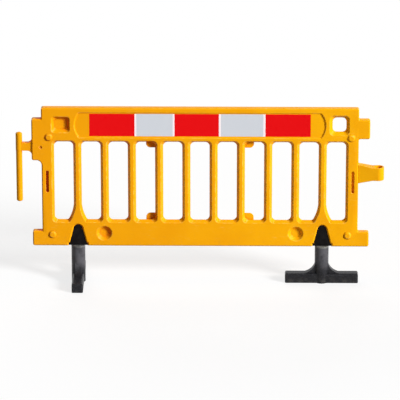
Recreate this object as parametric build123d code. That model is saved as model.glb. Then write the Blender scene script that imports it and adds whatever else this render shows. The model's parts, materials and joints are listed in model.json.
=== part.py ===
from build123d import *
import os
from math import cos, radians, sin, sqrt, tan

# A slatted pedestrian barrier for road works, on two feet that swivel under it.
# Millimetres. X runs along the panel, the front faces -Y, Z is up and the floor is z = 0.

# Panel, a hollow moulding parted on the plane y = 0
PANEL_LENGTH = 1720.0
PANEL_HEIGHT = 790.0
PANEL_RISE = 210.0
THICKNESS = 45.0
WALL = 3.0
EDGE_BEVEL = 6.0
CORNER_ROUND = 12.0

# Slots and the bars between them, measured on the parting plane
SLOT_COUNT = 11
BAR_WIDTH = 46.0
END_POST = 69.0
TOP_BAND = 197.0
BOTTOM_RAIL = 148.0
SLOT_CORNER = 13.0
SLOT_DRAFT = 30.0
FLARE_RUN = 29.0
FLARE_HEIGHT = 110.0
FLARE_LAP = 1.0

# Lugs that stand out from the panel's ends
PIN_LUG_REACH = 53.0
EYE_LUG_REACH = 61.0
UPPER_LUG_DROP = 64.0
PIN_LUG_HEIGHT = 235.0
PIN_LUG_FILLET = 28.0
EYE_LUG_HEIGHT = 108.0
LOWER_LUG_HEIGHT = 84.0

# Recess in the top band for the sheeting, with bowed ends
RECESS_HEIGHT = 131.0
RECESS_DROP = 31.0
RECESS_END_MARGIN = 206.0
RECESS_BOW = 22.0
RECESS_DEPTH = 7.0
RECESS_DRAFT = 45.0

# Reflective sheeting
SHEET_HEIGHT = 127.0
SHEET_THICKNESS = 0.6
SHEET_END_MARGIN = 55.0
END_SHEET_LENGTH = 245.0
MIDDLE_SHEET_LENGTH = 240.0
MIDDLE_SHEET_SHIFT = -18.0

# Drafted pockets in the front that stiffen the skin
POCKET_DEPTH = 20.0
POCKET_DRAFT = 40.0
TOP_POCKET_WIDTH = 66.0
TOP_POCKET_HEIGHT = 58.0
TOP_POCKET_CORNER = 22.0
TOP_POCKET_INSET = 105.0
TOP_POCKET_DROP = 94.0
RAIL_DISH_DIAMETER = 84.0
RAIL_DISH_DEPTH = 18.0
RAIL_DISH_FROM_FOOT = 144.0
RAIL_DISH_RISE = 74.0

# Hand hole at the right end of the top band
HAND_HOLE_WIDTH = 72.0
HAND_HOLE_HEIGHT = 78.0
HAND_HOLE_CORNER = 30.0
HAND_HOLE_DRAFT = 38.0

# Upright slits in the end posts
SLIT_WIDTH = 14.0
SLIT_HEIGHT = 124.0
SLIT_DEPTH = 16.0
SLIT_INSET = 30.0
SLIT_DROP = 419.0

# Round studs on the front, with sides that slope at 45 degrees
STUD_DIAMETER = 44.0
STUD_HEIGHT = 8.0
UPPER_STUD_INSET = 40.0
UPPER_STUD_DROP = 165.0
LOWER_STUD_INSET = 55.0
LOWER_STUD_RISE = 65.0

# Sign tabs in the corners of two slots
TAB_REACH = 48.0
TAB_HEIGHT = 35.0
TAB_CUT = 14.0
TAB_THICKNESS = 12.0
TAB_SET_BACK = 8.0
TAB_ROOT = 10.0
TAB_SLOT = 3

# Foot sockets, black wedges gripped in the bottom rail
SOCKET_HEIGHT = 120.0
SOCKET_TOP_RADIUS = 24.0
SOCKET_WIDTH = 98.0
SOCKET_FLANGE_WIDTH = 104.0
SOCKET_FLANGE_HEIGHT = 14.0
SOCKET_THICKNESS = 30.0
SOCKET_RECESS = 2.0
RIM_BEVEL = 45.0
RIDGE_DEPTH = 5.0
RIDGE_WIDTH = 10.0
SEAT_CLEARANCE = 0.2

# Feet
FOOT_LENGTH = 400.0
ARM_WIDTH = 62.0
ARM_HEIGHT = 54.0
ARM_ROUND = 12.0
ARM_END_BEVEL = 8.0
SOLE_BEVEL = 3.0
GUSSET_RADIUS = 76.0
GUSSET_THICKNESS = 36.0
GUSSET_SINK = 1.0
STEM_RADIUS = 38.0

# Pivot hardware
BOLT_DIAMETER = 12.0
BOLT_HEAD_FLATS = 18.0
BOLT_HEAD_HEIGHT = 7.5
BOLT_TIP = 8.0
NUT_HEIGHT = 10.8
NUT_DEPTH = 34.0
WASHER_DIAMETER = 36.0
WASHER_THICKNESS = 3.0
SLEEVE_DIAMETER = 18.0
COUNTERBORE_DIAMETER = 42.0
COUNTERBORE_DEPTH = 34.0
BOLT_CLEARANCE = 0.3
THREAD_CLEARANCE = 0.1
SWIVEL_CLEARANCE = 0.3
SWIVEL_PLAY = 0.3

# Link pin at the left end
PIN_DIAMETER = 34.0
PIN_HEAD_DIAMETER = 36.0
PIN_END_BEVEL = 2.0
PIN_OFFSET = 122.0
PIN_LENGTH = 396.0
PIN_TOP_DROP = 143.0
PIN_ARM_DROP = 224.0
PIN_ARM_HEIGHT = 44.0
PIN_ARM_THICKNESS = 28.0
PIN_ARM_FLARE = 24.0
PIN_TENON_LENGTH = 72.0
PIN_TENON_HEIGHT = 30.0
DOWEL_DIAMETER = 14.0
DOWEL_SINK = 6.0
DOWEL_FROM_END = 4.0

# Link eye at the right end
EYE_BORE = 42.0
EYE_WALL = 10.0
EYE_HEIGHT = 73.0
EYE_OFFSET = 109.0
EYE_DROP = 371.0
EYE_ROOT_HEIGHT = 108.0
EYE_ARM_THICKNESS = 38.0
TENON_THICKNESS = 18.0
EYE_TENON_LENGTH = 18.0
EYE_TENON_HEIGHT = 60.0

# Sides that small round features of the panel are given
ROUND_SIDES = 24

# Sizes and places that follow
END = PANEL_LENGTH / 2
PANEL_TOP = PANEL_RISE + PANEL_HEIGHT
FACE = THICKNESS / 2
PAST = 1.0
SLOT_WIDTH = (PANEL_LENGTH - 2 * END_POST - (SLOT_COUNT - 1) * BAR_WIDTH) / SLOT_COUNT
SLOT_PITCH = SLOT_WIDTH + BAR_WIDTH
SLOT_BOTTOM = PANEL_RISE + BOTTOM_RAIL
SLOT_HEIGHT = PANEL_HEIGHT - TOP_BAND - BOTTOM_RAIL
FOOT_X = END - END_POST - SLOT_WIDTH - BAR_WIDTH / 2
RECESS_FLOOR = FACE - RECESS_DEPTH
RECESS_MIDDLE = PANEL_TOP - RECESS_DROP - RECESS_HEIGHT / 2
RECESS_LENGTH = PANEL_LENGTH - 2 * RECESS_END_MARGIN
SOCKET_BOTTOM = PANEL_RISE + SOCKET_RECESS
RIM = FACE - SOCKET_THICKNESS / 2
FOOT_TOP = SOCKET_BOTTOM - SWIVEL_PLAY
WASHER_TOP = COUNTERBORE_DEPTH - SWIVEL_PLAY
HEAD_TOP = WASHER_TOP - WASHER_THICKNESS
NUT_BOTTOM = SOCKET_BOTTOM + NUT_DEPTH
BOLT_END = NUT_BOTTOM + NUT_HEIGHT + BOLT_TIP
PIN_X = -END - PIN_OFFSET
PIN_TOP = PANEL_TOP - PIN_TOP_DROP
PIN_ARM_Z = PANEL_TOP - PIN_ARM_DROP
DOWEL_X = -END - DOWEL_FROM_END
EYE_X = END + EYE_OFFSET
EYE_Z = PANEL_TOP - EYE_DROP


# Front views are drawn with x to the right and z up, and extruded along y.

def forward(section, start, length, taper=0.0):
    """Extrude a front view towards the viewer, from a plane start in front of y = 0."""
    return extrude(Plane.XZ.offset(start) * section, length, taper=taper)


def through(section, depth):
    """Extrude a front view to both sides of y = 0."""
    return extrude(Plane.XZ * section, depth, both=True)


def upright(section, low, high):
    """Extrude a plan view from one height to another."""
    return extrude(Pos(0, 0, low) * section, high - low)


def both_faces(part):
    """A feature of the front face, with its mirror image on the back."""
    return [part, mirror(part, about=Plane.XZ)]


def grown(section, amount):
    """A front view with its edge moved outwards, or inwards where amount is negative."""
    return offset(section, amount, kind=Kind.INTERSECTION)


def lug(side, reach, low, high):
    """Front view of a lug that stands out from one end of the panel."""
    return Pos(side * END, (low + high) / 2) * Rectangle(2 * reach, high - low)


def panel_outline(corner):
    """The panel's front view, a rectangle with two lugs at each end. Corner 0 leaves the corners sharp."""
    upper = PANEL_TOP - UPPER_LUG_DROP
    lower = PANEL_RISE + LOWER_LUG_HEIGHT
    left = -END - PIN_LUG_REACH
    right = END + EYE_LUG_REACH
    view = Pos(0, PANEL_RISE + PANEL_HEIGHT / 2) * Rectangle(PANEL_LENGTH, PANEL_HEIGHT)
    view += lug(-1, PIN_LUG_REACH, upper - PIN_LUG_HEIGHT, upper)
    view += lug(1, EYE_LUG_REACH, upper - EYE_LUG_HEIGHT, upper)
    view += lug(-1, PIN_LUG_REACH, PANEL_RISE, lower)
    view += lug(1, EYE_LUG_REACH, PANEL_RISE, lower)
    if corner:
        tips = [v for v in view.vertices() if v.X in (left, right) or v.Y == PANEL_TOP]
        view = fillet(tips, corner)
    root = view.vertices().sort_by_distance((-END, upper - PIN_LUG_HEIGHT))[0]
    return fillet(root, PIN_LUG_FILLET)


def drafted_block(width, height, draft, start):
    """Cutter about the y axis that widens from y = -start to past the front face."""
    far = FACE + PAST
    run = (far - start) * tan(radians(draft))
    wide = width / 2
    tall = height / 2
    plan = Polygon((-wide, -start), (-wide - run, -far), (wide + run, -far), (wide, -start), align=None)
    side = Polygon((-start, -tall), (-far, -tall - run), (-far, tall + run), (-start, tall), align=None)
    return extrude(Plane.XY * plan, tall + run, both=True) & extrude(Plane.YZ * side, wide + run, both=True)


def corner_edges(block):
    """The edges that run from a cutter's floor to its mouth."""
    edges = block.edges()
    return [edge for edge in edges if edge not in edges.filter_by(Plane.XZ)]


def opening(width, height, draft, skin):
    """Front half of a cutter that is narrowest on the parting plane, with its walls moved in by skin."""
    edge = 2 * skin / cos(radians(draft))
    return drafted_block(width + edge, height + edge, draft, 0)


def dent(width, height, depth, draft, skin):
    """Cutter for a pocket in the front, sized at its floor, with its walls moved in by skin."""
    slant = radians(draft)
    edge = 2 * skin * (1 - sin(slant)) / cos(slant)
    return drafted_block(width + edge, height + edge, draft, FACE - depth - skin)


def many_sided(diameter):
    """Front view of a small round feature, with few enough sides to keep the model light."""
    return RegularPolygon(diameter / 2, ROUND_SIDES)


def flare():
    """Filler for a slot's lower right corner, where the bar beside it spreads towards a foot."""
    far = FACE + PAST
    run = far * tan(radians(SLOT_DRAFT))
    lapped = FLARE_RUN + FLARE_LAP
    radius = (lapped**2 + FLARE_HEIGHT**2) / (2 * lapped)
    top = FLARE_HEIGHT - SLOT_HEIGHT / 2
    low = -SLOT_HEIGHT / 2 - run - PAST
    right = SLOT_WIDTH / 2 + run + PAST
    block = forward(Pos(right / 2, (low + top) / 2) * Rectangle(right, top - low), 0, far)
    curve = Cone(radius, radius + run, far, align=(Align.CENTER, Align.CENTER, Align.MIN))
    return block - Pos(SLOT_WIDTH / 2 + FLARE_LAP - radius, 0, top) * Rot(90, 0, 0) * curve


def slot(index, skin):
    """Front half of one slot's cutter. The slots beside a foot's bar draw in at the bottom."""
    cutter = opening(SLOT_WIDTH, SLOT_HEIGHT, SLOT_DRAFT, skin)
    if not skin:
        cutter = chamfer(corner_edges(cutter), SLOT_CORNER)
        if index in (0, SLOT_COUNT - 2):
            cutter -= flare()
        if index in (1, SLOT_COUNT - 1):
            cutter -= mirror(flare(), about=Plane.YZ)
    x = (index - (SLOT_COUNT - 1) / 2) * SLOT_PITCH
    return Pos(x, 0, SLOT_BOTTOM + SLOT_HEIGHT / 2) * cutter


def recess_outline():
    """The sheeting recess at its floor, with both ends bowed outwards."""
    half = RECESS_LENGTH / 2
    top = RECESS_HEIGHT / 2
    right = ThreePointArc((half, -top), (half + RECESS_BOW, 0), (half, top))
    left = ThreePointArc((-half, top), (-half - RECESS_BOW, 0), (-half, -top))
    edges = right + Line((half, top), (-half, top)) + left + Line((-half, -top), (half, -top))
    return Pos(0, RECESS_MIDDLE) * make_face(edges)


def stud_places():
    """Front-view places of the four studs."""
    upper = (END - UPPER_STUD_INSET, PANEL_TOP - UPPER_STUD_DROP)
    lower = (END - LOWER_STUD_INSET, PANEL_RISE + LOWER_STUD_RISE)
    return [(side * x, z) for side in (-1, 1) for x, z in (upper, lower)]


def socket_outline():
    """Front view of a foot socket about its pivot, from its flat underside up."""
    crown = Pos(0, SOCKET_HEIGHT - SOCKET_TOP_RADIUS) * Circle(SOCKET_TOP_RADIUS)
    base = Line((-SOCKET_WIDTH / 2, 0), (SOCKET_WIDTH / 2, 0))
    flange = Pos(0, SOCKET_FLANGE_HEIGHT / 2) * Rectangle(SOCKET_FLANGE_WIDTH, SOCKET_FLANGE_HEIGHT)
    return make_hull(crown.edges() + base.edges()) + flange


def window_outline(gap):
    """The opening in the bottom rail round a socket, run out through the panel's bottom edge."""
    mouth = Rectangle(SOCKET_FLANGE_WIDTH, 2 * (SOCKET_RECESS + RIDGE_DEPTH + PAST))
    return grown(socket_outline() + mouth, gap)


def hand_hole(skin):
    """Front half of the hand hole's cutter."""
    cutter = opening(HAND_HOLE_WIDTH, HAND_HOLE_HEIGHT, HAND_HOLE_DRAFT, skin)
    cutter = cutter if skin else fillet(corner_edges(cutter), HAND_HOLE_CORNER)
    return Pos(END - TOP_POCKET_INSET, 0, PANEL_TOP - TOP_POCKET_DROP) * cutter


def pockets(skin):
    """Cutters for the square pocket in the top band and the two round ones in the bottom rail."""
    top = dent(TOP_POCKET_WIDTH, TOP_POCKET_HEIGHT, POCKET_DEPTH, POCKET_DRAFT, skin)
    floor = RAIL_DISH_DIAMETER - 2 * RAIL_DISH_DEPTH
    low = dent(floor, floor, RAIL_DISH_DEPTH, 45, skin)
    if not skin:
        top = fillet(corner_edges(top), TOP_POCKET_CORNER)
        low = forward(many_sided(RAIL_DISH_DIAMETER), FACE - RAIL_DISH_DEPTH, RAIL_DISH_DEPTH + PAST)
        low = chamfer(low.faces().sort_by(Axis.Y)[-1].edges(), RAIL_DISH_DEPTH)
    cutters = [Pos(TOP_POCKET_INSET - END, 0, PANEL_TOP - TOP_POCKET_DROP) * top]
    for side in (-1, 1):
        x = side * (FOOT_X - RAIL_DISH_FROM_FOOT)
        cutters.append(Pos(x, 0, PANEL_RISE + RAIL_DISH_RISE) * low)
    return cutters


def openings_and_dents(skin):
    """Cutters for every slot, hole, pocket and slit, with their walls moved in by skin."""
    cutters = [slot(index, skin) for index in range(SLOT_COUNT)]
    cutters.append(hand_hole(skin))
    slit = dent(SLIT_WIDTH, SLIT_HEIGHT, SLIT_DEPTH, 0, skin)
    cutters += [Pos(side * (END - SLIT_INSET), 0, PANEL_TOP - SLIT_DROP) * slit for side in (-1, 1)]
    return pockets(skin) + [half for cutter in cutters for half in both_faces(cutter)]


def pin_tenon(gap):
    """The link pin's tenon, which enters the upper left lug, grown by gap inside the panel."""
    length = PIN_TENON_LENGTH + gap
    centre = Pos(-END - PIN_LUG_REACH + length / 2, 0, PIN_ARM_Z)
    return centre * Box(length, TENON_THICKNESS + 2 * gap, PIN_TENON_HEIGHT + 2 * gap)


def eye_tenon(gap):
    """The link eye's tenon, which enters the right end post, grown by gap inside the panel."""
    length = EYE_TENON_LENGTH + gap
    centre = Pos(END - length / 2, 0, EYE_Z)
    return centre * Box(length, TENON_THICKNESS + 2 * gap, EYE_TENON_HEIGHT + 2 * gap)


def link_dowel():
    """Round pin across the upper left lug that holds the link pin's tenon, sunk below both faces."""
    return through(Pos(DOWEL_X, PIN_ARM_Z) * Circle(DOWEL_DIAMETER / 2), FACE - DOWEL_SINK)


def dowel_hole():
    """The hole that the link dowel is driven into."""
    return through(Pos(DOWEL_X, PIN_ARM_Z) * Circle(DOWEL_DIAMETER / 2 + SEAT_CLEARANCE), FACE + PAST)


def sign_tab(side, rise):
    """Flat tab set back in a slot's corner. Rise is 1 in a bottom corner, -1 in a top one."""
    x = side * ((SLOT_COUNT - 1) / 2 - TAB_SLOT) * SLOT_PITCH - side * SLOT_WIDTH / 2
    z = SLOT_BOTTOM if rise > 0 else SLOT_BOTTOM + SLOT_HEIGHT
    corners = [
        (-TAB_ROOT, -TAB_ROOT),
        (TAB_REACH, -TAB_ROOT),
        (TAB_REACH, TAB_HEIGHT - TAB_CUT),
        (TAB_REACH - TAB_CUT, TAB_HEIGHT),
        (-TAB_ROOT, TAB_HEIGHT),
    ]
    view = Polygon(*[(x + side * across, z + rise * up) for across, up in corners], align=None)
    return Pos(0, TAB_SET_BACK, 0) * through(view, TAB_THICKNESS / 2)


def stud(x, z):
    """Raised round stud on the front, started inside the skin."""
    body = forward(Pos(x, z) * many_sided(STUD_DIAMETER), FACE - WALL / 2, WALL / 2 + STUD_HEIGHT)
    return chamfer(body.faces().sort_by(Axis.Y)[0].edges(), STUD_HEIGHT)


def hollow():
    """The space inside the moulding, one wall in from every face and seat, and two round the rim."""
    space = through(grown(panel_outline(0), -2 * WALL), FACE - WALL)
    recess = dent(RECESS_LENGTH + 2 * RECESS_BOW, RECESS_HEIGHT, RECESS_DEPTH, RECESS_DRAFT, WALL)
    seats = both_faces(Pos(0, 0, RECESS_MIDDLE) * recess)
    seats += [pin_tenon(SEAT_CLEARANCE + WALL), eye_tenon(SEAT_CLEARANCE + WALL)]
    boss = DOWEL_DIAMETER + 2 * (SEAT_CLEARANCE + WALL)
    seats.append(through(Pos(DOWEL_X, PIN_ARM_Z) * Rectangle(boss, boss), FACE))
    for side in (-1, 1):
        seats.append(through(Pos(side * FOOT_X, SOCKET_BOTTOM) * window_outline(RIM + WALL), FACE))
    return space - openings_and_dents(WALL) - seats


def window_cutters(side):
    """Cutters for a socket's window: its middle keeps a ridge, and its rims are bevelled."""
    place = Pos(side * FOOT_X, SOCKET_BOTTOM)
    window = place * window_outline(SEAT_CLEARANCE)
    ridge = RIDGE_WIDTH / 2
    inside = SOCKET_THICKNESS / 2
    cutters = [through(place * window_outline(SEAT_CLEARANCE - RIDGE_DEPTH), FACE + PAST)]
    cutters += both_faces(forward(window, ridge, inside - ridge))
    cutters += both_faces(forward(window, inside, RIM + PAST, -RIM_BEVEL))
    return cutters


def panel():
    """The slatted moulding: edges bevelled, openings and seats cut, studs and tabs added, then hollowed."""
    body = through(panel_outline(0), FACE)
    body = chamfer(body.edges().filter_by(Plane.XZ), EDGE_BEVEL)
    body &= through(panel_outline(CORNER_ROUND), FACE + PAST)
    body -= openings_and_dents(0)
    body -= both_faces(forward(recess_outline(), RECESS_FLOOR, RECESS_DEPTH + PAST, -RECESS_DRAFT))
    body -= [pin_tenon(SEAT_CLEARANCE), eye_tenon(SEAT_CLEARANCE)]
    body -= dowel_hole()
    body += [stud(x, z) for x, z in stud_places()]
    for side in (-1, 1):
        body -= window_cutters(side)
        body += [sign_tab(side, 1), sign_tab(side, -1)]
    return body - hollow()


def sheets():
    """The five pieces of sheeting by name: red ones at the ends and in the middle, white ones between."""
    half = RECESS_LENGTH / 2 - SHEET_END_MARGIN
    middle_left = MIDDLE_SHEET_SHIFT - MIDDLE_SHEET_LENGTH / 2
    middle_right = MIDDLE_SHEET_SHIFT + MIDDLE_SHEET_LENGTH / 2
    ends = [-half, END_SHEET_LENGTH - half, middle_left, middle_right, half - END_SHEET_LENGTH, half]
    names = ["red_left", "white_left", "red_middle", "white_right", "red_right"]
    pieces = {}
    for name, left, right in zip(names, ends, ends[1:]):
        view = Pos((left + right) / 2, RECESS_MIDDLE) * Rectangle(right - left, SHEET_HEIGHT)
        pieces["sheet_" + name] = forward(view, RECESS_FLOOR, SHEET_THICKNESS)
    return pieces


def hexagon(flats):
    """Plan view of a hexagon with two sides facing front and back."""
    return RegularPolygon(flats / 2, 6, major_radius=False, rotation=30)


def socket():
    """Black wedge about its pivot, grooved round its edge for the panel's ridge, with the nut inside."""
    view = Pos(0, SOCKET_BOTTOM) * socket_outline()
    core = Pos(0, SOCKET_BOTTOM) * window_outline(-RIDGE_DEPTH)
    groove = RIDGE_WIDTH / 2 + SEAT_CLEARANCE
    body = through(view, SOCKET_THICKNESS / 2)
    body -= through(view, groove) - through(core, groove)
    body -= upright(Circle(BOLT_DIAMETER / 2 + BOLT_CLEARANCE), SOCKET_BOTTOM, BOLT_END + BOLT_TIP)
    return body - upright(hexagon(BOLT_HEAD_FLATS + 2 * SEAT_CLEARANCE), NUT_BOTTOM, NUT_BOTTOM + NUT_HEIGHT)


def pivot_bolt():
    """Bolt with its head up inside the sole and its tip past the nut."""
    head = upright(hexagon(BOLT_HEAD_FLATS), HEAD_TOP - BOLT_HEAD_HEIGHT, HEAD_TOP)
    return head + upright(Circle(BOLT_DIAMETER / 2), HEAD_TOP, BOLT_END)


def ring(outer, inner, low, high):
    """Upright ring between two radii."""
    return upright(Circle(outer) - Circle(inner), low, high)


def pivot_washer():
    """Washer on the bolt's head, under the foot."""
    return ring(WASHER_DIAMETER / 2, BOLT_DIAMETER / 2 + BOLT_CLEARANCE, HEAD_TOP, WASHER_TOP)


def pivot_sleeve():
    """Spacer tube that the bolt clamps between the washer and the socket. The foot turns on it."""
    return ring(SLEEVE_DIAMETER / 2, BOLT_DIAMETER / 2 + BOLT_CLEARANCE, WASHER_TOP, SOCKET_BOTTOM)


def pivot_nut():
    """Nut held in the socket."""
    view = hexagon(BOLT_HEAD_FLATS) - Circle(BOLT_DIAMETER / 2 + THREAD_CLEARANCE)
    return upright(view, NUT_BOTTOM, NUT_BOTTOM + NUT_HEIGHT)


def gusset():
    """Web with two hollow curves that carry the stem into the arms."""
    half = GUSSET_THICKNESS / 2
    top_x = sqrt(STEM_RADIUS**2 - half**2)
    foot_z = ARM_HEIGHT - GUSSET_SINK
    top_z = foot_z + GUSSET_RADIUS
    reach = top_x + GUSSET_RADIUS
    view = Pos(0, top_z / 2) * Rectangle(2 * reach, top_z)
    view -= [Pos(side * reach, top_z) * Circle(GUSSET_RADIUS) for side in (-1, 1)]
    return through(view, half)


def foot():
    """Rubber foot along x: two arms and a round stem that bears on the socket, bored for the sleeve."""
    arms = Pos(0, 0, ARM_HEIGHT / 2) * Box(FOOT_LENGTH, ARM_WIDTH, ARM_HEIGHT)
    arms = fillet(arms.faces().sort_by(Axis.Z)[-1].edges(), ARM_ROUND)
    arms = chamfer(arms.faces().sort_by(Axis.Z)[0].edges(), SOLE_BEVEL)
    plan = Rectangle(FOOT_LENGTH, ARM_WIDTH)
    arms &= upright(chamfer(plan.vertices(), ARM_END_BEVEL), 0, ARM_HEIGHT)
    body = arms + gusset() + upright(Circle(STEM_RADIUS), 0, FOOT_TOP)
    body -= upright(Circle(SLEEVE_DIAMETER / 2 + SWIVEL_CLEARANCE), 0, FOOT_TOP)
    return body - upright(Circle(COUNTERBORE_DIAMETER / 2), 0, COUNTERBORE_DEPTH)


def link_pin():
    """Upright rod on an arm that spreads where it meets the lug, with a tenon for the dowel."""
    root = -END - PIN_LUG_REACH
    shoulder = PIN_ARM_Z - PIN_ARM_HEIGHT / 2
    rod = upright(Pos(PIN_X, 0) * Circle(PIN_HEAD_DIAMETER / 2), shoulder, PIN_TOP)
    rod += upright(Pos(PIN_X, 0) * Circle(PIN_DIAMETER / 2), PIN_TOP - PIN_LENGTH, shoulder)
    rims = rod.edges().filter_by(GeomType.CIRCLE).sort_by(Axis.Z)
    rod = chamfer([rims[0], rims[-1]], PIN_END_BEVEL)
    spread = PIN_ARM_HEIGHT / 2 + PIN_ARM_FLARE
    view = Pos((PIN_X + root) / 2, 0) * Rectangle(root - PIN_X, PIN_ARM_HEIGHT)
    view += Pos(root - PIN_ARM_FLARE / 2, 0) * Rectangle(PIN_ARM_FLARE, 2 * spread)
    view -= [Pos(root - PIN_ARM_FLARE, side * spread) * Circle(PIN_ARM_FLARE) for side in (-1, 1)]
    arm = through(Pos(0, PIN_ARM_Z) * view, PIN_ARM_THICKNESS / 2)
    return rod + arm + pin_tenon(0) - dowel_hole()


def link_eye():
    """Tapered tongue with an upright bore for the next barrier's rod, and a tenon in the end post."""
    barrel = EYE_BORE / 2 + EYE_WALL
    root = EYE_ROOT_HEIGHT / 2
    tip = EYE_HEIGHT / 2
    neck = EYE_X - barrel
    lower = [(END, -root), (neck, -tip), (EYE_X, -tip)]
    upper = [(x, -z) for x, z in reversed(lower)]
    body = through(Pos(0, EYE_Z) * Polygon(*lower, *upper, align=None), EYE_ARM_THICKNESS / 2)
    body += Pos(EYE_X, 0, EYE_Z) * Cylinder(barrel, EYE_HEIGHT)
    body -= Pos(EYE_X, 0, EYE_Z) * Cylinder(EYE_BORE / 2, EYE_ROOT_HEIGHT)
    return body + eye_tenon(0)


pieces = {"panel": panel(), **sheets()}
pieces["link_pin"] = link_pin()
pieces["link_dowel"] = link_dowel()
pieces["link_eye"] = link_eye()
for name, side in (("left", -1), ("right", 1)):
    place = Pos(side * FOOT_X, 0, 0)
    pieces["foot_" + name] = place * Rot(0, 0, 90 if side < 0 else 0) * foot()
    pieces["foot_socket_" + name] = place * socket()
    pieces["pivot_bolt_" + name] = place * pivot_bolt()
    pieces["pivot_washer_" + name] = place * pivot_washer()
    pieces["pivot_sleeve_" + name] = place * pivot_sleeve()
    pieces["pivot_nut_" + name] = place * pivot_nut()

os.makedirs("parts", exist_ok=True)
for name, piece in pieces.items():
    export_step(piece, f"parts/{name}.step")
    print(name, round(piece.volume / 1000, 1), "cm3")
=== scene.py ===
# %% [markdown]
# A slatted barrier for road works
#
# This lesson dresses a finished CAD model of a moulded barrier: a hollow yellow panel with eleven slots,
# a strip of reflective sheeting, a pin and an eye that link it to the next barrier, and two black rubber
# feet that swivel under it. The CAD model already has every piece at its true size and place.
# What it lacks is what the eye looks for: soft moulded edges and surfaces that look like plastic, film,
# rubber and zinc. So the steps are: load the model, set up a studio, soften the pieces, then paint them.

# %% Load the CAD model
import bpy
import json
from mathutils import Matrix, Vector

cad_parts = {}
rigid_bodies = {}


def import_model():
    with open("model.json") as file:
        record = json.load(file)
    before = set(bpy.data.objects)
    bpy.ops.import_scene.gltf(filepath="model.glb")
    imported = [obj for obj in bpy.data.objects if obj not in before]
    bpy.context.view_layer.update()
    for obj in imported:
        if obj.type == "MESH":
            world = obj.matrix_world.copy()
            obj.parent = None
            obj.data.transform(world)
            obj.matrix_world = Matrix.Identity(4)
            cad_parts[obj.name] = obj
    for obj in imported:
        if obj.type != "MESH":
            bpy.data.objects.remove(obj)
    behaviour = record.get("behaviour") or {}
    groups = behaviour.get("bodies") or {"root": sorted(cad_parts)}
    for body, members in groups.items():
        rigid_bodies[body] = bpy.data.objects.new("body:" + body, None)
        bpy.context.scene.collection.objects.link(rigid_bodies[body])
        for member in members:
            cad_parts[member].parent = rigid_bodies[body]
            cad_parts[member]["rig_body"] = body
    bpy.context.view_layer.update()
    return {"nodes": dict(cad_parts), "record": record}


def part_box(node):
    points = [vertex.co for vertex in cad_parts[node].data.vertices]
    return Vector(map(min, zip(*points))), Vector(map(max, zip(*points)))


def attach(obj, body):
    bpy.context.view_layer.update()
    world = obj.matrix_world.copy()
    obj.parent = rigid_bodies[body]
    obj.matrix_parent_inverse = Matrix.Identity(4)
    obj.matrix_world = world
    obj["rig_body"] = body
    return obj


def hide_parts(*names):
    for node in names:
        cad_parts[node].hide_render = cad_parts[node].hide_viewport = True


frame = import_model()
nodes = frame["nodes"]
slot_of = {subpart["node"]: subpart["material_slot"] for subpart in frame["record"]["subparts"]}
print("pieces in the frame:", len(nodes))

# %% [markdown]
# The camera comes first, because it decides what every later picture shows. The photograph looks square on
# and from well above, so that the foot that points forwards reaches down below the other one, and a little
# of that foot's right flank shows. Its upright lines stay nearly parallel. A long lens from far away gives
# all that: the nearer the camera, the more the panel would narrow towards its foot.

# %% Camera
import bpy
from math import radians
from mathutils import Vector

CAMERA_PLACE = Vector((0.22, -19.0, 7.15))
CAMERA_AIM = Vector((0.0, 0.0, 0.47))
VIEW_WIDTH = 2.18


def looking_along(direction):
    """The rotation that points a camera or a lamp along a direction."""
    return direction.to_track_quat("-Z", "Y").to_euler()


camera_data = bpy.data.cameras.new("studio_camera")
camera = bpy.data.objects.new("studio_camera", camera_data)
bpy.context.scene.collection.objects.link(camera)
bpy.context.scene.camera = camera
camera.location = CAMERA_PLACE
camera.rotation_euler = looking_along(CAMERA_AIM - CAMERA_PLACE)
distance = (CAMERA_AIM - CAMERA_PLACE).length
camera_data.lens = camera_data.sensor_width * distance / VIEW_WIDTH
print("lens in millimetres:", round(camera_data.lens, 1))

# %% [markdown]
# The light is a plain studio: one soft lamp from the right, the front and above, which brightens every edge
# that faces right and leaves the ones that face left darker, as in the photograph. A lamp close by would
# make one end of the long panel brighter than the other, so a Sun lamp is used, whose light is even, and its
# wide angle makes the shadows soft. A weaker and softer one behind lights the back for whoever walks round,
# and is kept out of reflections, where its low light would glare along the tops of the pieces. An even white
# room fills the rest. The levels are set so that a colour on the front of the panel comes out about as it is
# written.

# %% Lamps
KEY_FROM = Vector((0.76, -0.50, 0.42))
KEY_STRENGTH = 5.0
KEY_SOFTNESS = 16.0
BACK_FROM = Vector((-0.25, 0.93, 0.27))
BACK_STRENGTH = 2.2
BACK_SOFTNESS = 60.0


def add_lamp(name, comes_from, strength, softness):
    """A Sun lamp whose light comes from the given direction. Its softness is its width in degrees."""
    lamp_data = bpy.data.lights.new(name, "SUN")
    lamp_data.energy = strength
    lamp_data.angle = radians(softness)
    lamp = bpy.data.objects.new(name, lamp_data)
    lamp.rotation_euler = looking_along(-comes_from)
    bpy.context.scene.collection.objects.link(lamp)
    print(name, "strength:", strength)
    return lamp


bpy.context.scene.view_settings.view_transform = "Standard"
add_lamp("key_lamp", KEY_FROM, KEY_STRENGTH, KEY_SOFTNESS)
back_lamp = add_lamp("back_lamp", BACK_FROM, BACK_STRENGTH, BACK_SOFTNESS)
back_lamp.visible_glossy = False

# %% [markdown]
# The room is the world background. It looks white to the camera and in reflections, but gives less light
# than that to the barrier. The Light Path node tells the two apart. Small helpers add the nodes, here and in
# all materials.

# %% White room
WHITE = (1, 1, 1, 1)
ROOM_LIGHT = 0.15


def feed(tree, source, socket):
    """Link an output to an input, or set the input where the source is a plain value."""
    if isinstance(source, bpy.types.NodeSocket):
        tree.links.new(source, socket)
    else:
        socket.default_value = source


def add_node(tree, kind, inputs, **settings):
    """A new node with its settings made and its inputs fed."""
    node = tree.nodes.new(kind)
    for name, setting in settings.items():
        setattr(node, name, setting)
    for name, source in inputs.items():
        feed(tree, source, node.inputs[name])
    return node


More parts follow.
